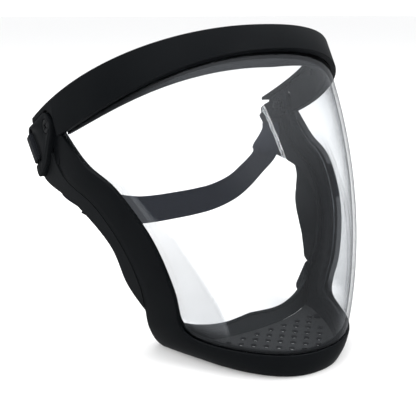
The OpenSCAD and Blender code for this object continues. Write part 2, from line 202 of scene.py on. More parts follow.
@dataclass(frozen=True)
class ClearSheet:
    """Glossy clear sheet: see-through, with a mirror-like gloss, faint wipe marks, and painted reflection:
    more mirror in a thin line along the crease and over the cheeks.
    """

    name: str = "clear_sheet"
    index: float = 1.49
    wipe_film: float = 0.02
    glint: float = 0.3
    cheek_reflection: float = 0.2

    def make(self) -> bpy.types.Material:
        """Returns the material."""
        s = Shader(self.name)
        wipe = s.noise(18.0, 5.0)
        straight = ((self.index - 1) / (self.index + 1)) ** 2
        turned = s.node("ShaderNodeLayerWeight", inputs={"Blend": 0.5}, output="Facing")
        facing = turned**5 * (1 - straight) + straight
        clear = s.node("ShaderNodeBsdfTransparent", inputs={"Color": (0.968, 0.975, 0.982, 1.0)})
        gloss = s.principled({"Base Color": (0.9, 0.92, 0.95, 1.0), "Metallic": 1.0,
                              "Roughness": wipe * 0.05 + 0.015})
        line = s.node("ShaderNodeAttribute", {"attribute_name": "crease"}, output="Fac")
        cheek = s.node("ShaderNodeAttribute", {"attribute_name": "cheek"}, output="Fac")
        # Painted reflection: the sheet turns more mirror-like in a thin line along the crease and, less, over
        # the cheeks beyond it.
        film = facing + wipe * self.wipe_film + line * self.glint + cheek * self.cheek_reflection
        return s.finish(s.node("ShaderNodeMixShader", inputs={0: film, 1: clear, 2: gloss}))


@dataclass(frozen=True)
class Webbing:
    """Woven elastic: fine ribs across the strap and cords along it, read from the strap's own attribute; the
    colour is darker in the weave's valleys as painted shade.
    """

    name: str = "woven_elastic"
    valley: Triple = (0.003, 0.0042, 0.009)
    crown: Triple = (0.010, 0.0135, 0.026)
    rib: float = 0.0009
    cord: float = 0.0011
    depth: float = 0.00022

    def make(self) -> bpy.types.Material:
        """Returns the material."""
        s = Shader(self.name)
        flow = s.node("ShaderNodeAttribute", {"attribute_name": "cloth"}, output="Vector")
        along = s.node("ShaderNodeSeparateXYZ", inputs={0: flow}, output=0)
        across = s.node("ShaderNodeSeparateXYZ", inputs={0: flow}, output=1)
        ribs = (along * (math.tau / self.rib)).math("SINE") * 0.5 + 0.5
        cords = (across * (math.tau / self.cord)).math("SINE") * 0.5 + 0.5
        fuzz = s.noise(1500.0, 3.0)
        weave = ribs * 0.55 + cords * 0.3 + fuzz * 0.25
        # Colour follows the weave's height: darker in the valleys, as painted shade between the ribs and
        # cords.
        inputs = {"Base Color": s.mix(weave.math("MINIMUM", 1.0), self.valley, self.crown),
                  "Roughness": 0.5 + fuzz * 0.3, "Normal": s.bump(weave, self.depth),
                  "Sheen Weight": 0.06, "Sheen Roughness": 0.4, "Specular IOR Level": 0.25}
        return s.finish(s.principled(inputs))


@dataclass(frozen=True)
class DarkSteel:
    """Blackened steel with turning marks and a little wear."""

    name: str = "blackened_steel"
    tone: Triple = (0.018, 0.019, 0.021)
    worn: Triple = (0.05, 0.052, 0.055)

    def make(self) -> bpy.types.Material:
        """Returns the material."""
        s = Shader(self.name)
        patch = s.ramp(s.noise(420.0, 4.0), (0.45, 0.0), (0.7, 1.0))
        marks = s.noise(3000.0, 2.0)
        inputs = {"Base Color": s.mix(patch, self.tone, self.worn), "Metallic": 0.85,
                  "Roughness": 0.28 + marks * 0.2, "Normal": s.bump(marks, 0.00003)}
        return s.finish(s.principled(inputs))


@dataclass(frozen=True)
class PaleFloor:
    """Plain pale sweep for the floor."""

    name: str = "pale_floor"
    tone: float = 0.93

    def make(self) -> bpy.types.Material:
        """Returns the material."""
        s = Shader(self.name)
        mottle = s.noise(3.0, 2.0)
        colour = s.mix(mottle, (self.tone,) * 3, (self.tone + 0.01,) * 3)
        return s.finish(s.principled({"Base Color": colour, "Roughness": 0.7, "Specular IOR Level": 0.1}))


# ---- curves and meshes ----------------------------------------------------------------------


def smooth_curve(points: list[Vector], place: float) -> Vector:
    """Finds a point on the smooth curve through some points.

    Args:
        points: The points, of any dimension.
        place: How far along, counted in points.

    Returns:
        The point there.
    """
    i = min(int(place), len(points) - 2)
    f = place - i
    b, d = points[i], points[i + 1]
    a = points[i - 1] if i > 0 else 2 * b - d
    e = points[i + 2] if i + 2 < len(points) else 2 * d - b
    return 0.5 * (2 * b + (d - a) * f + (2 * a - 5 * b + 4 * d - e) * f * f + (3 * b - a - 3 * d + e) * f**3)


def either_side(points: list[Vector], place: float) -> Vector:
    """Finds a point on the curve through some points and their mirror image.

    Args:
        points: The points, from the middle outwards.
        place: How far along, where a negative place has its first value mirrored.

    Returns:
        The point there.
    """
    p = smooth_curve(points, abs(place))
    if place < 0:
        p[0] = -p[0]
    return p


def between(low: float, high: float, share: float) -> float:
    """Returns a value between two, held at its ends."""
    return low + (high - low) * min(max(share, 0.0), 1.0)


def rounded(corners: list[Triple], steps: int = 3) -> list[tuple[float, float]]:
    """Rounds an outline's corners.

    Args:
        corners: Each corner's two coordinates and its radius, where 0 stays sharp.
        steps: How many edges a rounding gets.

    Returns:
        The outline's points, as many for any sizes of the same corners.
    """
    found: list[tuple[float, float]] = []
    for i, (x, y, r) in enumerate(corners):
        here = Vector((x, y))
        if r == 0:
            found.append((x, y))
            continue
        before = Vector(corners[i - 1][:2]) - here
        after = Vector(corners[(i + 1) % len(corners)][:2]) - here
        a = here + before.normalized() * min(r, before.length * 0.45)
        b = here + after.normalized() * min(r, after.length * 0.45)
        for k in range(steps + 1):
            s = k / steps
            found.append(tuple(a * (1 - s) ** 2 + here * 2 * s * (1 - s) + b * s * s))
    return found


def grid_over(rings: list[Ring], closed: bool) -> bmesh.types.BMesh:
    """Carries a flat grid of faces onto rows of points.

    Args:
        rings: The rows, all of one length, in millimetres.
        closed: True if each row runs back to its first point.

    Returns:
        The mesh, in metres, open at its first and last rows.
    """
    rows, columns = len(rings) - 1, len(rings[0]) - (0 if closed else 1)
    bm = bmesh.new()
    bmesh.ops.create_grid(bm, x_segments=columns, y_segments=rows, size=0.5)
    for v in bm.verts:
        i, j = round((v.co.x + 0.5) * columns), round((v.co.y + 0.5) * rows)
        v.co = rings[j][i % len(rings[0])] * MM
    return bm


def tube_over(rings: list[Ring]) -> bmesh.types.BMesh:
    """Closes a skin over rings of points with flat ends.

    Args:
        rings: The rings, in millimetres.

    Returns:
        The closed mesh, in metres, with its faces outwards.
    """
    bm = grid_over(rings, closed=True)
    bmesh.ops.remove_doubles(bm, verts=bm.verts, dist=1e-7)
    bmesh.ops.holes_fill(bm, edges=[e for e in bm.edges if e.is_boundary])
    bmesh.ops.recalc_face_normals(bm, faces=bm.faces)
    return bm


def softened(node: str, width: float) -> bmesh.types.BMesh:
    """Copies a CAD node and rounds its edges.

    Args:
        node: The CAD node.
        width: The rounding's width in millimetres.

    Returns:
        The new mesh.
    """
    bm = bmesh.new()
    bm.from_mesh(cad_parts[node].data)
    bmesh.ops.remove_doubles(bm, verts=bm.verts, dist=2e-6)
    bmesh.ops.dissolve_limit(bm, angle_limit=math.radians(1.5), verts=bm.verts, edges=bm.edges)
    sharp = [e for e in bm.edges if len(e.link_faces) == 2 and e.calc_face_angle(0.0) > math.radians(35)]
    bmesh.ops.bevel(bm, geom=sharp, offset=width * MM, offset_type="OFFSET", segments=2, profile=0.5,
                    affect="EDGES", material=-1, clamp_overlap=True)
    return bm


@dataclass(frozen=True)
class Dress:
    """How a finished mesh becomes a shown piece."""

    material: bpy.types.Material
    slot: str
    body: str = SHIELD
    crease: float = 32.0

    def piece(self, name: str, bm: bmesh.types.BMesh, *stands_for: str) -> bpy.types.Object:
        """Makes the object, with smooth faces and sharp edges where it turns hard.

        Args:
            name: The piece's name.
            bm: Its mesh, which is used up.
            stands_for: The CAD nodes that it replaces.

        Returns:
            The object, riding on its body.
        """
        for f in bm.faces:
            f.smooth = True
        for e in bm.edges:
            e.smooth = len(e.link_faces) != 2 or e.calc_face_angle(0.0) < math.radians(self.crease)
        mesh = bpy.data.meshes.new(name)
        bm.to_mesh(mesh)
        bm.free()
        mesh.materials.append(self.material)
        made = bpy.data.objects.new(name, mesh)
        bpy.context.scene.collection.objects.link(made)
        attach(made, self.body)
        if stands_for:
            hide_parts(*stands_for)
        log.info("%s: %d faces, on %s", name, len(mesh.polygons), self.body)
        return made

    def keep(self, *nodes: str) -> None:
        """Gives kept CAD nodes this finish."""
        for node in nodes:
            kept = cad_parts[node]
            kept.data.materials.clear()
            kept.data.materials.append(self.material)
            log.info("%s: kept from CAD", node)


# ---- the shell and its outlines -------------------------------------------------------------


def through(values: tuple[float, float, float], share: float) -> float:
    """Returns the value at a share of the height, through three equally spaced values."""
    a, b, c = values
    return a * (1 - share) * (1 - 2 * share) + 4 * b * share * (1 - share) + c * share * (2 * share - 1)


def vectors(*points: tuple[float, ...]) -> list[Vector]:
    """Returns points as vectors."""
    return [Vector(p) for p in points]


@dataclass(frozen=True)
class Shell:
    """Surface that the visor and its rim follow, in millimetres and degrees from the front."""

    height: float = 170.0
    half_widths: Triple = (59.0, 82.8, 83.9)
    fronts: Triple = (-79.6, -70.9, -26.3)
    widest: tuple[float, float] = (73.2, 79.6)
    roundness: float = 0.89
    wall: float = 2.0
    visor_edge: list[Vector] = field(default_factory=lambda: vectors(
        (0, 14), (15, 14), (30, 14), (42, 14), (48.5, 16), (50.5, 23), (50, 41), (53, 68), (61, 91.5),
        (70, 101.5), (77.6, 117)))
    rear_edge: list[Vector] = field(default_factory=lambda: vectors(
        (0, 0), (16, 0), (32, 0), (48, 0), (60.5, 0), (62.5, 12), (60.3, 38), (62.6, 60.5), (69, 79.5),
        (79.2, 91.5), (83.8, 113)))

    def _round(self, value: float) -> float:
        """Returns a sine or cosine with the sections' roundness."""
        return math.copysign(abs(value) ** self.roundness, value)

    def point(self, t: float, z: float) -> Vector:
        """Finds a point on the surface.

        Args:
            t: The angle from the front, in degrees.
            z: The height.

        Returns:
            The point, in millimetres.
        """
        h = z / self.height
        front = through(self.fronts, h)
        widest = self.widest[0] + (self.widest[1] - self.widest[0]) * h
        a = math.radians(t)
        return Vector((through(self.half_widths, h) * self._round(math.sin(a)),
                       widest - (widest - front) * self._round(math.cos(a)), z))

    def outward(self, t: float, z: float) -> Vector:
        """Returns the surface's outward direction."""
        run = self.point(t + 1, z) - self.point(t - 1, z)
        return run.cross(self.point(t, z + 1) - self.point(t, z - 1)).normalized()

    def angle_of(self, p: Vector) -> float:
        """Returns the angle of a point on the surface, without its sign."""
        share = min(abs(p.x) / through(self.half_widths, p.z / self.height), 1.0)
        return math.degrees(math.asin(share ** (1 / self.roundness)))

    def at(self, tz: Vector, out: float) -> Vector:
        """Returns the point at an angle and a height, moved outwards."""
        return self.point(tz[0], tz[1]) + self.outward(tz[0], tz[1]) * out

    def span(self, a: Vector, b: Vector, least: float = 11.5) -> float:
        """Returns the distance between two edge points, with a least value."""
        return max((self.at(b, 0) - self.at(a, 0)).length, least)

    def strip(self, a: Vector, b: Vector, outline: list[tuple[float, float]], width: float) -> Ring:
        """Lays an outline across a strip of the surface.

        Args:
            a: The strip's first edge, as an angle and a height.
            b: Its second edge.
            outline: Points as the distance from a and the distance out, in millimetres.
            width: The strip's width.

        Returns:
            The ring of points.
        """
        return [self.at(a + (b - a) * (q / width), out) for q, out in outline]

    def drop(self, line: Callable[[float], float], t: float, start: float) -> float:
        """Finds where the surface meets a line drawn in the side view, by stepping towards it.

        Args:
            line: Gives the line's height at a distance along Y.
            t: The angle from the front.
            start: The height to start from.

        Returns:
            The height at which they meet.
        """
        z = start
        for _ in range(20):
            z = line(self.point(t, z).y)
        return z

    def top(self, t: float) -> float:
        """Returns the height of the brow band's top at an angle."""
        return self.drop(lambda y: 158.7 - 0.518 * y, t, 150.0)

    def brow(self, t: float) -> float:
        """Returns the height of the brow band's lower edge at an angle."""
        return self.drop(lambda y: 159.5 - 0.766 * (y + 33.7) + 0.00225 * (y + 33.7) ** 2, t, 140.0)


# ---- sub-assemblies -------------------------------------------------------------------------


@dataclass
class Brow:
    """Brow band and the inner rail that clamps the visor to it."""

    shell: Shell
    plastic: bpy.types.Material
    out: float = 3.2
    flange_in: float = 6.5
    flange: float = 2.2
    corner_t: float = 77.4
    end_t: float = 88.6
    end_h: float = 3.5
    boss_y: float = 54.0
    boss_z: float = 118.0
    arch: float = 9.2
    arch_start: float = 0.9
    rail_end: float = 76.4
    rail_drop: float = 5.5
    rail_drop_end: float = 0.6
    rail_wall: float = 2.2

    def low(self, t: float) -> float:
        """Finds the band's lower edge, which arches over the temple boss.

        Args:
            t: The angle from the front.

        Returns:
            The edge's height in millimetres.
        """
        turn, top = abs(t), self.shell.top(t)
        if turn <= self.corner_t:
            return min(self.shell.brow(t), top - self.end_h)
        y = self.shell.point(turn, top - 6).y - self.boss_y
        lift = math.sqrt(max(self.arch**2 - min(y, 0.0) ** 2, 0.0))
        share = (turn - self.corner_t) / self.arch_start
        return between(self.shell.brow(self.corner_t), min(self.boss_z + lift, top - self.end_h), share)

    def band(self) -> None:
        """Builds the band with its top flange."""
        body = [i * self.corner_t / 60 for i in range(-60, 61)]
        fine_step, fine_count, coarse_count = 0.3, 7, 10
        tail = [self.corner_t + fine_step * i for i in range(1, fine_count + 1)]
        rest = self.end_t - self.corner_t - fine_step * fine_count
        tail += [self.end_t - rest * (1 - i / coarse_count) for i in range(1, coarse_count + 1)]
        rings = []
        for t in [-t for t in reversed(tail)] + body + tail:
            a, b = Vector((t, self.low(t))), Vector((t, self.shell.top(t)))
            w = self.shell.span(a, b, self.end_h)
            outline = rounded([(0, 0.2, 0), (0, self.out, 0.6), (w, self.out, 1.5), (w, -self.flange_in, 0.5),
                               (w - self.flange, -self.flange_in, 0.5), (w - self.flange, 0.2, 0)])
            rings.append(self.shell.strip(a, b, outline, w))
        Dress(self.plastic, "black_plastic").piece("brow_band_shell", tube_over(rings), "brow_band")

    def rail(self) -> None:
        """Builds the inner rail."""
        rings = []
        inner = -self.shell.wall - 0.2
        outer = inner - self.rail_wall
        for i in range(-64, 65):
            t = i * self.rail_end / 64
            low = self.shell.brow(t) - between(self.rail_drop, self.rail_drop_end, abs(t) / self.rail_end)
            a, b = Vector((t, low)), Vector((t, self.shell.top(t)))
            w = self.shell.span(a, b)
            top = w - self.flange - 0.2
            outline = rounded([(0, inner, 0.4), (top, inner, 0), (top, outer, 0), (0, outer, 1.0)])
            rings.append(self.shell.strip(a, b, outline, w))
        Dress(self.plastic, "black_plastic").piece("brow_rail_shell", tube_over(rings), "brow_rail")

    def build(self) -> None:
        """Builds and dresses the whole brow."""
        self.band()
        self.rail()
        Dress(self.plastic, "black_plastic").keep("rail_pins")


@dataclass
class LowerRim:
    """Side arms and chin band in one moulding, with the soft face rim and the vented floor."""

    shell: Shell
    plastic: bpy.types.Material
    rubber: bpy.types.Material
    tray: bpy.types.Material
    tuck: float = 5.6
    rim_wall: float = 2.2
    bead: float = 0.8
    pads: tuple[float, ...] = (0.8, 4.5, 7, 8, 9.5, 12, 14, 13.5, 10, 5, 0.8)
    pad_from: int = 50
    pad_step: int = 4
    steps: int = 12
    ear_from: float = 8.8
    ear_fade: float = 0.8
    tab_x: float = 82.4
    tab_t: float = 2.6
    tab_ends: tuple[Triple, ...] = ((54, 118, 7), (50, 100, 4))
    rim_start: float = 5.6
    rim_end: float = 9.85
    rim_knots: tuple[float, ...] = (5.6, 6.0, 7.0, 8.0, 9.3, 9.85)
    rim_blend: float = 6.4
    rim_root_out: float = 1.1
    lip_steps: int = 60
    arm_steps: int = 50
    lip_foot: list[Vector] = field(default_factory=lambda: vectors(
        (0, -26.5, 2.4), (20, -25, 2.4), (38, -19.5, 2.6), (50, -12, 4.5), (52.4, -1.4, 10)))
    lip_tip: list[Vector] = field(default_factory=lambda: vectors(
        (0, -18, 9.5), (19, -18.5, 8.8), (36, -15.5, 11.5), (49, -10.5, 17), (56.5, -5, 25.5)))
    arm_tip: list[Vector] = field(default_factory=lambda: vectors(
        (61.8, 28, 2.3), (64.5, 40, 2.3), (66.4, 60, 2.3), (75.5, 77.2, 2.3), (87.4, 84.2, 1.5),
        (89.2, 96, 1.5)))

    def frame_ring(self, u: float) -> Ring:
        """Finds the moulding's section, which changes from the chin band to the arm and thins at the ear.

        Args:
            u: The place along the outline, counted in its points, negative on the left.

        Returns:
            The section's ring of points.
        """
        k = between(0.0, 1.0, (abs(u) - 3) / 2)
        a, b = either_side(self.shell.visor_edge, u), either_side(self.shell.rear_edge, u)
        b[1] = max(b[1], 0.0)
        w = self.shell.span(a, b)
        ear = (abs(u) - self.ear_from) / self.ear_fade
        front, rear = between(between(1.2, 2.0, k), 1.6, ear), between(between(-1.2, 2.0, k), 0.9, ear)
        middle = between(between(0.9, 2.3, k), 1.3, ear)
        inward, flat = between(-8.0, -3.2, k), between(-3.9, -0.4, k)
        wall, lip, seat = between(-3.0, -0.6, k), -self.shell.wall - 2.2, -self.shell.wall - 0.2
        back = between(0.0, 3.2, k)
        corners = [(0, front, 0.5), (w * 0.5, middle, 6.0), (w, rear, 0.7), (w, inward, 0.5),
                   (w - 2, inward, 0.5), (w - 2, flat, 0), (8, wall, 0), (8, lip, 0), (back, lip, 0.6),
                   (back, seat, 0),
                   (self.tuck + 0.6, seat, 0), (self.tuck + 0.6, 0.2, 0), (0, 0.2, 0)]
        outline = rounded(corners)
        ring = self.shell.strip(a, b, outline, w)
        for p, (q, out) in zip(ring, outline):
            if out < flat - 0.05 and q > w - 2.6:
                p.z = between(w - q, p.z, k)
            p.z = max(p.z, 0.0)
        return ring

    def moulding(self) -> None:
        """Builds the arms and the chin band."""
        last = (len(self.shell.visor_edge) - 1) * self.steps
        rings = [self.frame_ring(i / self.steps) for i in range(-last, last + 1)]
        dress = Dress(self.plastic, "black_plastic")
        dress.piece("lower_frame_shell", tube_over(rings), "lower_frame")
        for side in Side:
            self.ear_tab(side, dress)

    def ear_tab(self, side: Side, dress: Dress) -> None:
        """Builds the flat tab that the temple screw goes through.

        Args:
            side: The side of the head.
            dress: The finish.
        """
        bm = bmesh.new()
        across = Matrix.Rotation(math.pi / 2, 4, "Y")
        for y, z, r in self.tab_ends:
            made = bmesh.ops.create_circle(bm, segments=48, radius=r * MM)["verts"]
            place = Matrix.Translation(Vector((self.tab_x * side.value, y, z)) * MM)
            bmesh.ops.transform(bm, matrix=place @ across, verts=made)
        hull = bmesh.ops.convex_hull(bm, input=bm.verts)
        bmesh.ops.delete(bm, geom=[v for v in hull["geom_interior"] if isinstance(v, bmesh.types.BMVert)])
        bmesh.ops.dissolve_limit(bm, angle_limit=0.02, verts=bm.verts, edges=bm.edges)
        flat = bm.faces[:1]
        raised = bmesh.ops.extrude_face_region(bm, geom=flat)["geom"]
        bmesh.ops.translate(bm, vec=Vector((self.tab_t * side.value * MM, 0, 0)),
                            verts=[v for v in raised if isinstance(v, bmesh.types.BMVert)])
        bmesh.ops.recalc_face_normals(bm, faces=bm.faces)
        dress.piece(f"frame_tab_{side.name.lower()}", bm)

    def root_at(self, u: float) -> Vector:
        """Returns the rim's foot on the arm."""
        return self.shell.at(smooth_curve(self.shell.rear_edge, u), self.rim_root_out)

    def tip_at(self, u: float) -> Vector:
        """Finds the rim's free edge on the arm.

        Args:
            u: The place on the arm's rear edge, counted in its points.

        Returns:
            The point, in millimetres.
        """
        knots, tips = self.rim_knots, [self.shell.at(p, p[2]) for p in self.arm_tip]
        i = max(n for n, knot in enumerate(knots[:-1]) if u >= knot)
        return smooth_curve(tips, i + (u - knots[i]) / (knots[i + 1] - knots[i]))

    def rim_pairs(self) -> list[tuple[Vector, Vector]]:
        """Lists the rim's foot and free edge, from the middle of the lip to the right ear.

        Returns:
            One pair of points for each section.
        """
        start, end = self.rim_start, self.rim_end
        foot = self.lip_foot + [self.root_at(start), self.root_at(self.rim_blend)]
        free = self.lip_tip + [self.tip_at(start), self.tip_at(self.rim_blend)]
        turns = [i / self.steps for i in range(self.lip_steps)]
        places = [start + (end - start) * i / self.arm_steps for i in range(self.arm_steps + 1)]
        return ([(smooth_curve(foot, u), smooth_curve(free, u)) for u in turns]
                + [(self.root_at(u), self.tip_at(u)) for u in places])

    def pad_in(self, i: int) -> float:
        """Finds how far the free edge reaches inwards, which is a cheek pad along the arms.

        Args:
            i: The section's number, counted from the middle of the lip.

        Returns:
            The reach in millimetres.
        """
        place = (abs(i) - self.pad_from) / self.pad_step
        if not 0 < place < len(self.pads) - 1:
            return self.bead
        return smooth_curve([Vector((pad, 0.0)) for pad in self.pads], place).x

    def face_rim(self) -> None:
        """Builds the soft rim, with a bead along its free edge that widens to the cheek pads."""
        pairs, half = self.rim_pairs(), self.rim_wall / 2
        last = len(pairs) - 1

        def pair(i: int) -> tuple[Vector, Vector]:
            """Returns one foot and free edge, mirrored where i is negative."""
            sign = Vector((-1.0 if i < 0 else 1.0, 1.0, 1.0))
            return tuple(p * sign for p in pairs[min(abs(i), last)])

        rings = []
        for i in range(-last, last + 1):
            (foot, tip), before, after = pair(i), pair(i - 1)[0], pair(i + 1)[0]
            length, run = (tip - foot).length, after - before
            blade = (tip - foot) / length
            out = run.cross(tip - foot).normalized()
            reach = half + self.pad_in(i)
            outline = rounded([(0.3, half, 0.3), (length - 2.0, half, 0.4), (length - 1.6, reach, 0.3),
                               (length, reach, 0.7), (length, -half, 0.9), (0.3, -half, 0.3)])
            rings.append([foot + blade * q + out * d for q, d in outline])
        Dress(self.rubber, "soft_rim", crease=50).piece("face_rim_soft", tube_over(rings), "face_rim")

    def build(self) -> None:
        """Builds and dresses the lower rim."""
        self.moulding()
        self.face_rim()
        Dress(self.tray, "floor_plastic").keep("vent_floor")
        Dress(self.plastic, "black_plastic").keep("floor_pins")


@dataclass
class VisorPanel:
    """The clear visor, creased where its front panel meets the cheeks."""

    shell: Shell
    clear: bpy.types.Material
    rows: int = 60
    columns: int = 150
    corner_t: float = 77.0
    top_tuck: float = 3.4
    tuck: float = 5.6
    crease: list[Vector] = field(default_factory=lambda: vectors(
        (35.5, 9), (35.8, 20), (37.1, 31), (39.6, 43), (46.6, 71), (52.4, 80.5), (59.5, 97), (66, 112)))
    crease_out: float = 0.7
    crease_fade: float = 9.0
    # Width of the painted reflection line along the crease, in millimetres.
    crease_line: float = 0.6
    mm_per_degree: float = 1.25
    first_place: float = 3.0
    last_place: float = 9.6

    def edge(self) -> list[Vector]:
        """Returns the visor's side edge in the rim's groove, from the chin to the brow."""
        found = []
        for i in range(self.rows + 1):
            u = self.first_place + (self.last_place - self.first_place) * i / self.rows
            a, b = smooth_curve(self.shell.visor_edge, u), smooth_curve(self.shell.rear_edge, u)
            found.append(a + (b - a) * self.tuck / self.shell.span(a, b))
        top = self.shell.top(self.corner_t) - self.top_tuck
        return found + vectors((self.corner_t, 118), (self.corner_t, (118 + top) / 2), (self.corner_t, top))

    def crease_at(self, t: float, z: float) -> tuple[float, float]:
        """Finds how a place lies to the crease.

        Args:
            t: The place's angle.
            z: Its height.

        Returns:
            The distance from the crease in millimetres, positive on the cheek, and how strong the
            crease is at that height.
        """
        heights = [p[1] for p in self.crease]
        if z >= heights[-1]:
            return 99.0, 0.0
        i = max((n for n, h in enumerate(heights[:-1]) if z >= h), default=0)
        f = min(max((z - heights[i]) / (heights[i + 1] - heights[i]), 0.0), 1.0)
        line = smooth_curve(self.crease, i + f)[0]
        strength = between(1.0, 0.0, (z - 92) / 20) * between(0.0, 1.0, (z - 20) / 6)
        return (abs(t) - line) * self.mm_per_degree, strength

    def rise(self, t: float, z: float) -> float:
        """Returns how far the crease lifts the sheet at an angle and a height."""
        off, strength = self.crease_at(t, z)
        return self.crease_out * strength * math.exp(-abs(off) / self.crease_fade)

    def mark_crease(self, bm: bmesh.types.BMesh) -> None:
        """Stores on each point of the sheet how near the crease it is, and whether it is on a cheek, as masks
        for the painted reflection along the crease and over the cheeks.

        Args:
            bm: The sheet, in metres.
        """
        for name in ("crease", "cheek"):
            bm.verts.layers.float.new(name)
        crease, cheek = bm.verts.layers.float["crease"], bm.verts.layers.float["cheek"]
        for v in bm.verts:
            off, strength = self.crease_at(self.shell.angle_of(v.co / MM), v.co.z / MM)
            v[crease] = strength * math.exp(-((off / self.crease_line) ** 2))
            v[cheek] = strength * between(0.0, 1.0, off)

    def build(self) -> None:
        """Builds and dresses the visor."""
        side = self.edge()
        foot, head = side[0][1], side[-1][1]
        rings = []
        for i in range(-self.columns, self.columns + 1):
            s = i / self.columns
            top = self.shell.top(s * self.corner_t) - self.top_tuck
            k = (top - foot) / (head - foot)
            row = [Vector((s * p[0], foot + (p[1] - foot) * k)) for p in side]
            rings.append([self.shell.at(p, self.rise(p[0], p[1])) for p in row])
        bm = grid_over(rings, closed=False)
        bmesh.ops.recalc_face_normals(bm, faces=bm.faces)
        facing = sum((f.normal.dot(f.calc_center_median() - Vector((0, 0.02, 0.09))) for f in bm.faces))
        if facing < 0:
            bmesh.ops.reverse_faces(bm, faces=bm.faces)
        self.mark_crease(bm)
        visor = Dress(self.clear, "clear_plastic").piece("visor_sheet", bm, "visor")
        wall = visor.modifiers.new("wall", "SOLIDIFY")
        wall.thickness = self.shell.wall * MM
        wall.offset = -1.0


@dataclass
class Temples:
    """Strap anchors, screws and what is behind them."""

    plastic: bpy.types.Material
    steel: bpy.types.Material

    def build(self) -> None:
        """Dresses the temple joints."""
        black, metal = Dress(self.plastic, "black_plastic"), Dress(self.steel, "screw_steel")
        for side in Side:
            name = side.name.lower()
            anchor, plate = f"strap_anchor_{name}", f"temple_plate_{name}"
            black.piece(f"anchor_plate_{name}", softened(anchor, 0.45), anchor)
            black.piece(f"temple_pad_{name}", softened(plate, 0.4), plate)
        metal.piece("temple_screw_pair", softened("temple_screws", 0.18), "temple_screws")
        metal.keep("temple_washers", "temple_nuts")


@dataclass
class HeadStrap:
    """Elastic webbing that hangs between the temples, with its stitched ends and adjuster."""

    webbing: bpy.types.Material
    ends: bpy.types.Material
    plastic: bpy.types.Material
    width: float = 18.0
    thick: float = 1.2
    route: list[Vector] = field(default_factory=lambda: vectors(
        (0, 61, 57, 0), (15, 61, 57.2, 0), (30, 61, 58.5, 0), (45, 61, 62.5, 0), (56, 61, 68.6, 0),
        (69.5, 61, 79.2, 0), (74.6, 61.8, 86, -40), (78.9, 63.6, 93, -74), (82, 65.2, 99, -89),
        (82.5, 66, 103.5, -90)))
    slot_front: tuple[float, float] = (64.6, 98.5)
    slot_top: tuple[float, float] = (76.6, 111.5)
    bar_back: float = 3.9
    bar: float = 1.9
    bar_x: float = 87.15
    anchor_half: float = 1.75
    slack: float = 0.3

    def section(self, centre: Vector, wide: Vector, thick: Vector, width: float) -> Ring:
        """Lays out a webbing section with soft edges.

        Args:
            centre: Its middle.
            wide: The direction of its width.
            thick: The direction of its thickness.
            width: Its width in millimetres.

        Returns:
            The section's ring of points.
        """
        w, t = width / 2, self.thick / 2
        crown = t + 0.04
        outline = rounded([(-w, -t, 0.5), (0, -crown, 0), (w, -t, 0.5),
                           (w, t, 0.5), (0, crown, 0), (-w, t, 0.5)])
        return [centre + wide * a + thick * b for a, b in outline]

    def cloth(self, bm: bmesh.types.BMesh, rings: list[Ring]) -> None:
        """Stores on each point how far along and across the webbing it is, in metres.

        Args:
            bm: The mesh over the rings.
            rings: The rings, in millimetres.
        """
        layer = bm.verts.layers.float_vector.new("cloth")
        centres = [sum(ring, Vector()) / len(ring) for ring in rings]
        along = [0.0]
        for a, b in zip(centres, centres[1:]):
            along.append(along[-1] + (b - a).length)
        where = {}
        for j, ring in enumerate(rings):
            wide = (ring[len(ring) // 2] - ring[0]).normalized()
            for p in ring:
                where[tuple(round(c, 4) for c in p)] = (along[j], (p - centres[j]).dot(wide), 0.0)
        for v in bm.verts:
            found = where.get(tuple(round(c, 4) for c in v.co / MM))
            if found is None:
                near = min(range(len(centres)), key=lambda j: (centres[j] - v.co / MM).length)
                found = (along[near], 0.0, 0.0)
            v[layer] = Vector(found) * MM

    def hanging(self) -> None:
        """Builds the hanging length."""
        last, rings = (len(self.route) - 1) * 12, []
        for i in range(-last, last + 1):
            u = i / 12
            here, ahead, behind = (either_side(self.route, u + d) for d in (0, 0.05, -0.05))
            run = (ahead.xyz - behind.xyz).normalized()
            flat = Vector((0, 1, 0)).cross(run).normalized()
            face, turn = run.cross(flat), math.radians(here[3])
            wide = flat * math.cos(turn) + face * math.sin(turn)
            rings.append(self.section(here.xyz, wide, run.cross(wide), self.width))
        bm = tube_over(rings)
        self.cloth(bm, rings)
        Dress(self.webbing, "webbing", STRAP, crease=60).piece("strap_webbing", bm, "strap")

    def loop(self, side: Side) -> None:
        """Builds a stitched end round the anchor's bar.

        Args:
            side: The side of the head.
        """
        front, top = Vector((0, *self.slot_front)), Vector((0, *self.slot_top))
        rise = (top - front).normalized()
        back = Vector((0, rise.z, -rise.y))
        centre = (front + top) / 2 + back * self.bar_back + Vector((self.bar_x, 0, 0))
        half_x, half_z = self.anchor_half + self.slack + self.thick / 2, self.bar + self.slack + self.thick / 2
        path = rounded([(x, z, 1.4) for x, z in ((-half_x, -half_z), (half_x, -half_z), (half_x, half_z),
                                                 (-half_x, half_z))], 6)
        points = [centre + Vector((1, 0, 0)) * x + back * z for x, z in path]
        rings = []
        for i in range(len(points) + 1):
            here = points[i % len(points)]
            run = (points[(i + 1) % len(points)] - points[i - 1 if i else -1]).normalized()
            if i == len(points):
                run = (points[1] - points[-1]).normalized()
            rings.append([Vector((p.x * side.value, p.y, p.z)) for p in
                          self.section(here, rise, run.cross(rise), self.width - 0.8)])
        bm = grid_over(rings, closed=True)
        bmesh.ops.remove_doubles(bm, verts=bm.verts, dist=1e-6)
        bmesh.ops.recalc_face_normals(bm, faces=bm.faces)
        self.cloth(bm, rings[:-1])
        name = side.name.lower()
        # The ends' material is the darker copy of the webbing, painted shade on the loop.
        Dress(self.ends, "webbing", crease=60).piece(f"strap_end_{name}", bm, f"strap_loop_{name}")

    def build(self) -> None:
        """Builds and dresses the strap."""
        self.hanging()
        for side in Side:
            self.loop(side)
        adjuster = Dress(self.plastic, "slider_plastic", SLIDER)
        adjuster.piece("strap_adjuster", softened("strap_slider", 0.35), "strap_slider")


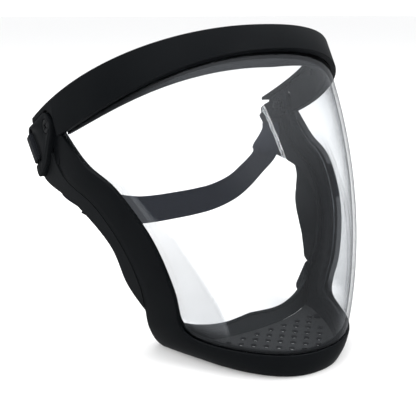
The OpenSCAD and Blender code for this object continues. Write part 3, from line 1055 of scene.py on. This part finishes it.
@dataclass(frozen=True)
class Lamp:
    """Soft rectangular lamp that points at the shield, in metres and watts."""

    name: str
    place: Triple
    size: tuple[float, float]
    power: float
    in_gloss: bool = False

    def hang(self) -> None:
        """Makes the lamp."""
        data = bpy.data.lights.new(self.name, "AREA")
        data.shape = "RECTANGLE"
        data.size, data.size_y = self.size
        data.energy = self.power
        lamp = bpy.data.objects.new(self.name, data)
        lamp.location = self.place
        lamp.visible_glossy = self.in_gloss
        lamp.rotation_euler = (Vector((0, 0, 0.08)) - Vector(self.place)).to_track_quat("-Z", "Y").to_euler()
        bpy.context.scene.collection.objects.link(lamp)


@dataclass
class Studio:
    """Pale floor, soft lights and the camera."""

    target: Vector = field(default_factory=lambda: Vector((1.49, 26.23, 63.0)) * MM)
    azimuth: float = -34.4
    elevation: float = 16.0
    distance: float = 0.4195
    lens: float = 59.0
    horizon: float = 0.28
    zenith: float = 1.0
    fill: float = 1.16
    lamps: tuple[Lamp, ...] = (
        Lamp("key", (0.9, -0.9, 1.3), (0.9, 0.9), 14.0),
        Lamp("top", (-0.2, 0.3, 1.5), (1.4, 1.0), 12.0),
        Lamp("side", (-1.3, -0.5, 0.7), (0.5, 1.0), 5.0),
        Lamp("streak", (0.55, -1.1, 0.95), (0.03, 0.9), 1.2, in_gloss=True))

    def floor(self) -> None:
        """Lays the floor."""
        bm = bmesh.new()
        bmesh.ops.create_grid(bm, x_segments=4, y_segments=4, size=30.0)
        mesh = bpy.data.meshes.new("floor")
        bm.to_mesh(mesh)
        bm.free()
        mesh.materials.append(PaleFloor().make())
        floor = bpy.data.objects.new("floor", mesh)
        bpy.context.scene.collection.objects.link(floor)
        floor.visible_glossy = False

    def sky(self) -> None:
        """Makes the world white to look at and as a soft light, and dimmer in the gloss."""
        world = bpy.data.worlds.new("studio")
        bpy.context.scene.world = world
        world.use_nodes = True
        tree = world.node_tree
        tree.nodes.clear()
        path, seen = tree.nodes.new("ShaderNodeLightPath"), tree.nodes.new("ShaderNodeMath")
        seen.operation = "ADD"
        tree.links.new(path.outputs["Is Camera Ray"], seen.inputs[0])
        tree.links.new(path.outputs["Is Diffuse Ray"], seen.inputs[1])
        dim, bright = tree.nodes.new("ShaderNodeBackground"), tree.nodes.new("ShaderNodeBackground")
        ray = tree.nodes.new("ShaderNodeSeparateXYZ")
        tree.links.new(tree.nodes.new("ShaderNodeTexCoord").outputs["Generated"], ray.inputs[0])
        height = tree.nodes.new("ShaderNodeMapRange")
        height.interpolation_type = "SMOOTHSTEP"
        limits = {"From Min": 0.1, "From Max": 0.9, "To Min": self.horizon, "To Max": self.zenith}
        for name, value in limits.items():
            height.inputs[name].default_value = value
        tree.links.new(ray.outputs["Z"], height.inputs["Value"])
        dim.inputs["Color"].default_value = (0.95, 0.97, 1.0, 1.0)
        tree.links.new(height.outputs["Result"], dim.inputs["Strength"])
        bright.inputs["Color"].default_value = (1.0, 1.0, 1.0, 1.0)
        bright.inputs["Strength"].default_value = self.fill
        mixed, out = tree.nodes.new("ShaderNodeMixShader"), tree.nodes.new("ShaderNodeOutputWorld")
        tree.links.new(seen.outputs[0], mixed.inputs[0])
        tree.links.new(dim.outputs[0], mixed.inputs[1])
        tree.links.new(bright.outputs[0], mixed.inputs[2])
        tree.links.new(mixed.outputs[0], out.inputs["Surface"])

    def camera(self) -> None:
        """Places the camera."""
        a, e = math.radians(self.azimuth), math.radians(self.elevation)
        back = Vector((math.sin(a) * math.cos(e), -math.cos(a) * math.cos(e), math.sin(e)))
        data = bpy.data.cameras.new("camera")
        data.lens = self.lens
        data.sensor_width = 36.0
        camera = bpy.data.objects.new("camera", data)
        camera.location = self.target + back * self.distance
        camera.rotation_euler = (-back).to_track_quat("-Z", "Y").to_euler()
        bpy.context.scene.collection.objects.link(camera)
        bpy.context.scene.camera = camera

    def build(self) -> None:
        """Builds the whole studio."""
        self.floor()
        self.sky()
        self.camera()
        for lamp in self.lamps:
            lamp.hang()
        bpy.context.scene.view_settings.view_transform = "Standard"


def main() -> None:
    """Builds the shield and its studio in order."""
    logging.basicConfig(level=logging.INFO, format="%(message)s")
    shell = Shell()
    black = MouldedBlack().make()
    rubber = MouldedBlack("soft_black", (0.005, 0.006, 0.007), (0.009, 0.010, 0.011), roughness=0.5,
                          grain=0.00008, specular=0.14).make()
    tray = MouldedBlack("tray_black", (0.02, 0.021, 0.022), (0.03, 0.031, 0.032), roughness=0.45,
                        grain=0.00006).make()
    Brow(shell, black).build()
    LowerRim(shell, black, rubber, tray).build()
    VisorPanel(shell, ClearSheet().make()).build()
    Temples(black, DarkSteel().make()).build()
    # The looped ends get a darker copy of the webbing: painted shade where they wrap the anchor bars.
    ends = Webbing("woven_ends_shaded", (0.0015, 0.002, 0.0035), (0.005, 0.0065, 0.010)).make()
    HeadStrap(Webbing().make(), ends, MouldedBlack("adjuster_black").make()).build()
    Studio().build()


if __name__ == "__main__":
    main()
